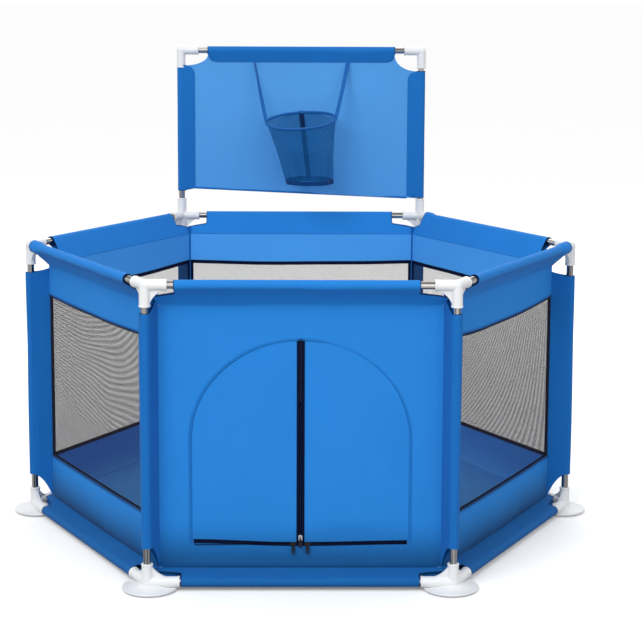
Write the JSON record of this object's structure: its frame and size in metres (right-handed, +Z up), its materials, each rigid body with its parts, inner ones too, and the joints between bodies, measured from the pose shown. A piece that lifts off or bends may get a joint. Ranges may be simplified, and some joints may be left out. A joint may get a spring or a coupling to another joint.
{
  "type": "hexagonal playpen",
  "caption": "Six-sided fabric playpen with mesh windows, zip door, steel tube frame, suction feet and a ball hoop on a lift-off backboard.",
  "frame": {"origin": "on the floor, under the middle of the hexagon", "axes": "+Z up; the zip door faces -Y and the hoop board stands on the +Y side; the side corners lie on X"},
  "size_m": [1.378, 1.2092, 1.1024],
  "materials": {
    "steel_tube": "bright drawn steel tube",
    "white_plastic": "white moulded plastic",
    "clear_rubber": "soft milky suction pad",
    "blue_cloth": "blue woven polyester",
    "sleeve_cloth": "blue woven polyester, two layers",
    "black_mesh": "open black knitted mesh",
    "net_mesh": "open navy knitted net",
    "zip_tape": "dark navy zip tape and teeth",
    "strap_tape": "blue woven tape",
    "zip_metal": "bare metal slider",
    "zip_black": "black enamelled metal",
    "hoop_wire": "navy coated steel wire"
  },
  "bodies": {
    "frame": {"post_right": "steel_tube", "post_back_right": "steel_tube", "post_back_left": "steel_tube", "post_left": "steel_tube", "post_front_left": "steel_tube", "post_front_right": "steel_tube", "top_rail_right_back": "steel_tube", "top_rail_back": "steel_tube", "top_rail_left_back": "steel_tube", "top_rail_left_front": "steel_tube", "top_rail_front": "steel_tube", "top_rail_right_front": "steel_tube", "low_rail_right_back": "steel_tube", "low_rail_back": "steel_tube", "low_rail_left_back": "steel_tube", "low_rail_left_front": "steel_tube", "low_rail_front": "steel_tube", "low_rail_right_front": "steel_tube", "corner_right": "white_plastic", "foot_right": "white_plastic", "corner_back_right": "white_plastic", "foot_back_right": "white_plastic", "corner_back_left": "white_plastic", "foot_back_left": "white_plastic", "corner_left": "white_plastic", "foot_left": "white_plastic", "corner_front_left": "white_plastic", "foot_front_left": "white_plastic", "corner_front_right": "white_plastic", "foot_front_right": "white_plastic", "foot_pads": "clear_rubber", "side_cloth_right_back": "blue_cloth", "side_cloth_back": "blue_cloth", "side_cloth_left_back": "blue_cloth", "side_cloth_left_front": "blue_cloth", "side_cloth_right_front": "blue_cloth", "front_cloth": "blue_cloth", "mesh_windows": "black_mesh", "post_sleeves": "sleeve_cloth", "floor_cloth": "blue_cloth", "zip_tape_sill": "zip_tape"},
    "door_left": {"door_flap_left": "blue_cloth", "zip_tape_left": "zip_tape"},
    "door_right": {"door_flap_right": "blue_cloth", "zip_tape_right": "zip_tape"},
    "slider_centre": {"zip_slider_centre": "zip_metal"},
    "pull_centre": {"zip_pull_centre": "zip_black"},
    "slider_left": {"zip_slider_left": "zip_black"},
    "pull_left": {"zip_pull_left": "zip_black"},
    "slider_right": {"zip_slider_right": "zip_black"},
    "pull_right": {"zip_pull_right": "zip_black"},
    "board": {"board_upright_left": "steel_tube", "board_elbow_left": "white_plastic", "board_upright_right": "steel_tube", "board_elbow_right": "white_plastic", "board_top_tube": "steel_tube", "board_cloth": "blue_cloth"},
    "hoop": {"hoop_ring": "hoop_wire", "hoop_net": "net_mesh", "hoop_straps": "strap_tape"}
  },
  "joints": [
    {"name": "door_fold_left", "type": "hinge", "parent": "frame", "child": "door_left", "pos_m": [0, -0.51642, 0.517], "axis": [0.4668, 0, 0.8844], "range_deg": [0, 150]},
    {"name": "door_fold_right", "type": "hinge", "parent": "frame", "child": "door_right", "pos_m": [0, -0.51642, 0.517], "axis": [0.4668, 0, -0.8844], "range_deg": [0, 150]},
    {"name": "zip_slide_centre", "type": "slide", "parent": "frame", "child": "slider_centre", "axis": [0, 0, 1], "range_m": [0, 0.4]},
    {"name": "pull_swing_centre", "type": "hinge", "parent": "slider_centre", "child": "pull_centre", "pos_m": [0, -0.52372, 0.101], "axis": [-1, 0, 0], "range_deg": [0, 165]},
    {"name": "zip_slide_left", "type": "slide", "parent": "frame", "child": "slider_left", "axis": [-1, 0, 0], "range_m": [0, 0.2]},
    {"name": "pull_swing_left", "type": "hinge", "parent": "slider_left", "child": "pull_left", "pos_m": [-0.015, -0.52372, 0.088], "axis": [-1, 0, 0], "range_deg": [0, 165]},
    {"name": "zip_slide_right", "type": "slide", "parent": "frame", "child": "slider_right", "axis": [1, 0, 0], "range_m": [0, 0.2]},
    {"name": "pull_swing_right", "type": "hinge", "parent": "slider_right", "child": "pull_right", "pos_m": [0.015, -0.52372, 0.088], "axis": [-1, 0, 0], "range_deg": [0, 165]},
    {"name": "board_lift", "type": "slide", "parent": "frame", "child": "board", "axis": [0, 0, 1], "range_m": [0, 0.06]},
    {"name": "hoop_tilt", "type": "hinge", "parent": "board", "child": "hoop", "pos_m": [0, 0.54836, 0.926], "axis": [-1, 0, 0], "range_deg": [0, 75], "deforming": ["hoop_net", "hoop_straps"]}
  ]
}
